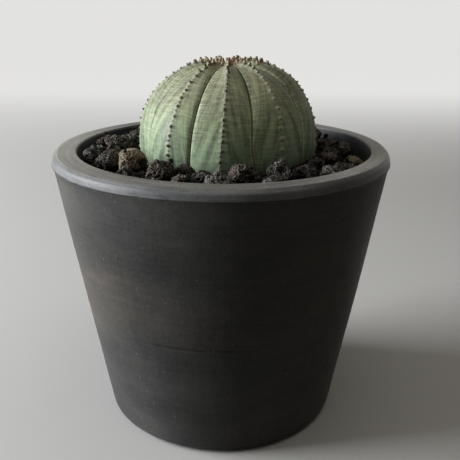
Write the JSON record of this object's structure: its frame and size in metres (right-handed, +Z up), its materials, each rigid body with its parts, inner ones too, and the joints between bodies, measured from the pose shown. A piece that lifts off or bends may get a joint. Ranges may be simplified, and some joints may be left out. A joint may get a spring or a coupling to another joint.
{
  "type": "potted baseball plant",
  "caption": "Round ribbed green succulent with a taproot, growing in a plain tapered dark clay pot topped with loose black lava stones.",
  "frame": {"origin": "centre of the pot's foot, on the surface that the pot stands on", "axes": "+Z up along the pot's axis, -Y towards the front, +X to the viewer's right"},
  "size_m": [0.12, 0.12, 0.1312],
  "materials": {
    "clay": "matte",
    "net_plastic": "matte",
    "mix": "matte",
    "plant_skin": "satin",
    "stone_black": "matte",
    "stone_brown": "matte",
    "stone_grey": "matte",
    "stone_tan": "matte",
    "flower_stalk": "matte",
    "grit": "matte"
  },
  "bodies": {
    "root": {"pot": "clay", "drain_net": "net_plastic", "potting_mix": "mix", "plant": "plant_skin", "stone_01": "stone_tan", "stone_02": "stone_brown", "stone_03": "stone_black", "stone_04": "stone_black", "stone_05": "stone_brown", "stone_06": "stone_black", "stone_07": "stone_black", "stone_08": "stone_black", "stone_09": "stone_brown", "stone_10": "stone_black", "stone_11": "stone_brown", "stone_12": "stone_black", "stone_13": "stone_grey", "stone_14": "stone_brown", "stone_15": "stone_black", "stone_16": "stone_black", "stone_17": "stone_grey", "stone_18": "stone_black", "stone_19": "stone_tan", "stone_20": "stone_brown", "stone_21": "stone_black", "stone_22": "stone_brown", "stone_23": "stone_brown", "stone_24": "stone_black", "stone_25": "stone_black", "stone_26": "stone_black", "stone_27": "stone_grey", "stone_28": "stone_black", "stone_29": "stone_black", "stone_30": "stone_brown", "stone_31": "stone_brown", "stone_32": "stone_black", "stone_33": "stone_grey", "stone_34": "stone_black", "stone_35": "stone_grey", "stone_36": "stone_black", "stone_37": "stone_black", "stone_38": "stone_black", "stone_39": "stone_brown", "stone_40": "stone_brown", "stone_41": "stone_black", "stone_42": "stone_brown", "stone_43": "stone_black", "stone_44": "stone_black", "stone_45": "stone_brown", "stone_46": "stone_black", "stone_47": "stone_black", "stone_48": "stone_grey", "stone_49": "stone_brown", "stone_50": "stone_brown", "stone_51": "stone_black", "stone_52": "stone_brown", "stone_53": "stone_brown", "stone_54": "stone_black"}
  },
  "joints": []
}
